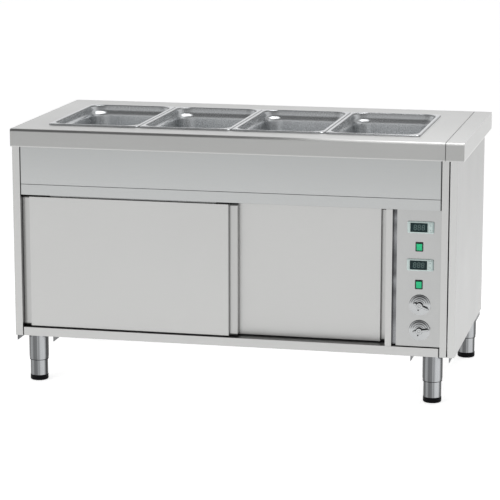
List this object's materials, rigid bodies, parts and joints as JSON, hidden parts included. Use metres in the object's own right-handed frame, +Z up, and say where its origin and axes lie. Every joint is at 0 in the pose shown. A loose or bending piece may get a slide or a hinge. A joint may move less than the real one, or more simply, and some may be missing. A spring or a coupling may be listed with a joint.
{
  "type": "steam table unit",
  "caption": "Heated serving counter: a water bath with gastronorm pans over a hot cupboard with sliding doors, on adjustable legs.",
  "frame": {"origin": "on the floor, under the middle of the counter's outline", "axes": "+X along the counter to the operator's right, where the controls are; +Y away from the operator; +Z up"},
  "size_m": [1.57, 0.79, 0.905],
  "materials": {
    "worktop_steel": "satin brushed along the counter",
    "panel_steel": "fine satin brushed",
    "inner_steel": "dull mill finish",
    "pan_steel": "drawn, bright satin",
    "leg_steel": "polished tube",
    "valve_chrome": "bright plated",
    "aluminium": "plain extruded",
    "brass": "plain",
    "black_plastic": "moulded, fine texture",
    "pale_plastic": "moulded",
    "green_lens": "translucent, glossy",
    "dark_lens": "clear over a dark display"
  },
  "bodies": {
    "cabinet": {"apron_panel": "panel_steel", "back_panel": "panel_steel", "base_pan": "panel_steel", "bath_heater": "inner_steel", "bath_switch_frame": "black_plastic", "bath_thermostat_case": "pale_plastic", "bath_thermostat_window": "dark_lens", "cable_gland": "black_plastic", "control_panel": "panel_steel", "cupboard_heater": "inner_steel", "cupboard_liner": "inner_steel", "cupboard_switch_frame": "black_plastic", "cupboard_thermostat_case": "pale_plastic", "cupboard_thermostat_window": "dark_lens", "door_guide": "black_plastic", "door_track": "aluminium", "drain_line": "inner_steel", "drain_rosette": "valve_chrome", "end_panel": "panel_steel", "end_strip": "worktop_steel", "fill_line": "brass", "fill_rosette": "valve_chrome", "header_rail": "panel_steel", "left_side": "panel_steel", "leg_mount_front_left": "leg_steel", "leg_mount_front_right": "leg_steel", "leg_mount_rear_left": "leg_steel", "leg_mount_rear_right": "leg_steel", "partition": "panel_steel", "right_side": "panel_steel", "shelf": "inner_steel", "support_grid": "inner_steel", "water_tank": "inner_steel", "worktop": "worktop_steel"},
    "left_door": {"left_door": "panel_steel", "left_door_hanger": "inner_steel"},
    "right_door": {"right_door": "panel_steel", "right_door_hanger": "inner_steel"},
    "left_door_wheel_1": {"left_door_wheel_1": "black_plastic"},
    "left_door_wheel_2": {"left_door_wheel_2": "black_plastic"},
    "right_door_wheel_1": {"right_door_wheel_1": "black_plastic"},
    "right_door_wheel_2": {"right_door_wheel_2": "black_plastic"},
    "pan_1": {"pan_1": "pan_steel"},
    "pan_2": {"pan_2": "pan_steel"},
    "pan_3": {"pan_3": "pan_steel"},
    "pan_4": {"pan_4": "pan_steel"},
    "bath_switch_rocker": {"bath_switch_rocker": "green_lens"},
    "bath_thermostat_key": {"bath_thermostat_key": "pale_plastic"},
    "cupboard_switch_rocker": {"cupboard_switch_rocker": "green_lens"},
    "cupboard_thermostat_key": {"cupboard_thermostat_key": "pale_plastic"},
    "fill_lever": {"fill_lever": "valve_chrome"},
    "drain_lever": {"drain_lever": "valve_chrome"},
    "foot_front_left": {"leg_tube_front_left": "leg_steel", "foot_front_left": "black_plastic"},
    "foot_front_right": {"leg_tube_front_right": "leg_steel", "foot_front_right": "black_plastic"},
    "foot_rear_left": {"leg_tube_rear_left": "leg_steel", "foot_rear_left": "black_plastic"},
    "foot_rear_right": {"leg_tube_rear_right": "leg_steel", "foot_rear_right": "black_plastic"}
  },
  "joints": [
    {"name": "left_door_slide", "type": "slide", "parent": "cabinet", "child": "left_door", "axis": [1, 0, 0], "range_m": [0, 0.514]},
    {"name": "right_door_slide", "type": "slide", "parent": "cabinet", "child": "right_door", "axis": [1, 0, 0], "range_m": [-0.52, 0]},
    {"name": "left_door_wheel_1_turn", "type": "hinge", "parent": "left_door", "child": "left_door_wheel_1", "pos_m": [-0.625, -0.3638, 0.6892], "axis": [0, 1, 0], "continuous": true},
    {"name": "left_door_wheel_2_turn", "type": "hinge", "parent": "left_door", "child": "left_door_wheel_2", "pos_m": [-0.095, -0.3638, 0.6892], "axis": [0, 1, 0], "continuous": true},
    {"name": "right_door_wheel_1_turn", "type": "hinge", "parent": "right_door", "child": "right_door_wheel_1", "pos_m": [-0.105, -0.3278, 0.6892], "axis": [0, 1, 0], "continuous": true},
    {"name": "right_door_wheel_2_turn", "type": "hinge", "parent": "right_door", "child": "right_door_wheel_2", "pos_m": [0.425, -0.3278, 0.6892], "axis": [0, 1, 0], "continuous": true},
    {"name": "pan_1_lift", "type": "slide", "parent": "cabinet", "child": "pan_1", "axis": [0, 0, 1], "range_m": [0, 0.2]},
    {"name": "pan_2_lift", "type": "slide", "parent": "cabinet", "child": "pan_2", "axis": [0, 0, 1], "range_m": [0, 0.2]},
    {"name": "pan_3_lift", "type": "slide", "parent": "cabinet", "child": "pan_3", "axis": [0, 0, 1], "range_m": [0, 0.2]},
    {"name": "pan_4_lift", "type": "slide", "parent": "cabinet", "child": "pan_4", "axis": [0, 0, 1], "range_m": [0, 0.2]},
    {"name": "bath_switch", "type": "hinge", "parent": "cabinet", "child": "bath_switch_rocker", "pos_m": [0.638, -0.373, 0.5445], "axis": [1, 0, 0], "range_deg": [-16, 0]},
    {"name": "cupboard_switch", "type": "hinge", "parent": "cabinet", "child": "cupboard_switch_rocker", "pos_m": [0.638, -0.373, 0.4155], "axis": [1, 0, 0], "range_deg": [-16, 0]},
    {"name": "bath_thermostat_press", "type": "slide", "parent": "cabinet", "child": "bath_thermostat_key", "axis": [0, 1, 0], "range_m": [0, 0.001], "stiffness_N_per_m": 300, "springref_m": -0.001},
    {"name": "cupboard_thermostat_press", "type": "slide", "parent": "cabinet", "child": "cupboard_thermostat_key", "axis": [0, 1, 0], "range_m": [0, 0.001], "stiffness_N_per_m": 300, "springref_m": -0.001},
    {"name": "fill_valve_turn", "type": "hinge", "parent": "cabinet", "child": "fill_lever", "pos_m": [0.6425, -0.377, 0.3455], "axis": [0, 1, 0], "range_deg": [0, 90]},
    {"name": "drain_valve_turn", "type": "hinge", "parent": "cabinet", "child": "drain_lever", "pos_m": [0.6425, -0.377, 0.2582], "axis": [0, 1, 0], "range_deg": [0, 90]},
    {"name": "foot_front_left_height", "type": "slide", "parent": "cabinet", "child": "foot_front_left", "axis": [0, 0, -1], "range_m": [0, 0.04]},
    {"name": "foot_front_right_height", "type": "slide", "parent": "cabinet", "child": "foot_front_right", "axis": [0, 0, -1], "range_m": [0, 0.04]},
    {"name": "foot_rear_left_height", "type": "slide", "parent": "cabinet", "child": "foot_rear_left", "axis": [0, 0, -1], "range_m": [0, 0.04]},
    {"name": "foot_rear_right_height", "type": "slide", "parent": "cabinet", "child": "foot_rear_right", "axis": [0, 0, -1], "range_m": [0, 0.04]}
  ],
  "couplings": [
    {"joint": "left_door_wheel_1_turn", "follows": "left_door_slide", "rad_per_m": 100},
    {"joint": "left_door_wheel_2_turn", "follows": "left_door_slide", "rad_per_m": 100},
    {"joint": "right_door_wheel_1_turn", "follows": "right_door_slide", "rad_per_m": 100},
    {"joint": "right_door_wheel_2_turn", "follows": "right_door_slide", "rad_per_m": 100}
  ]
}
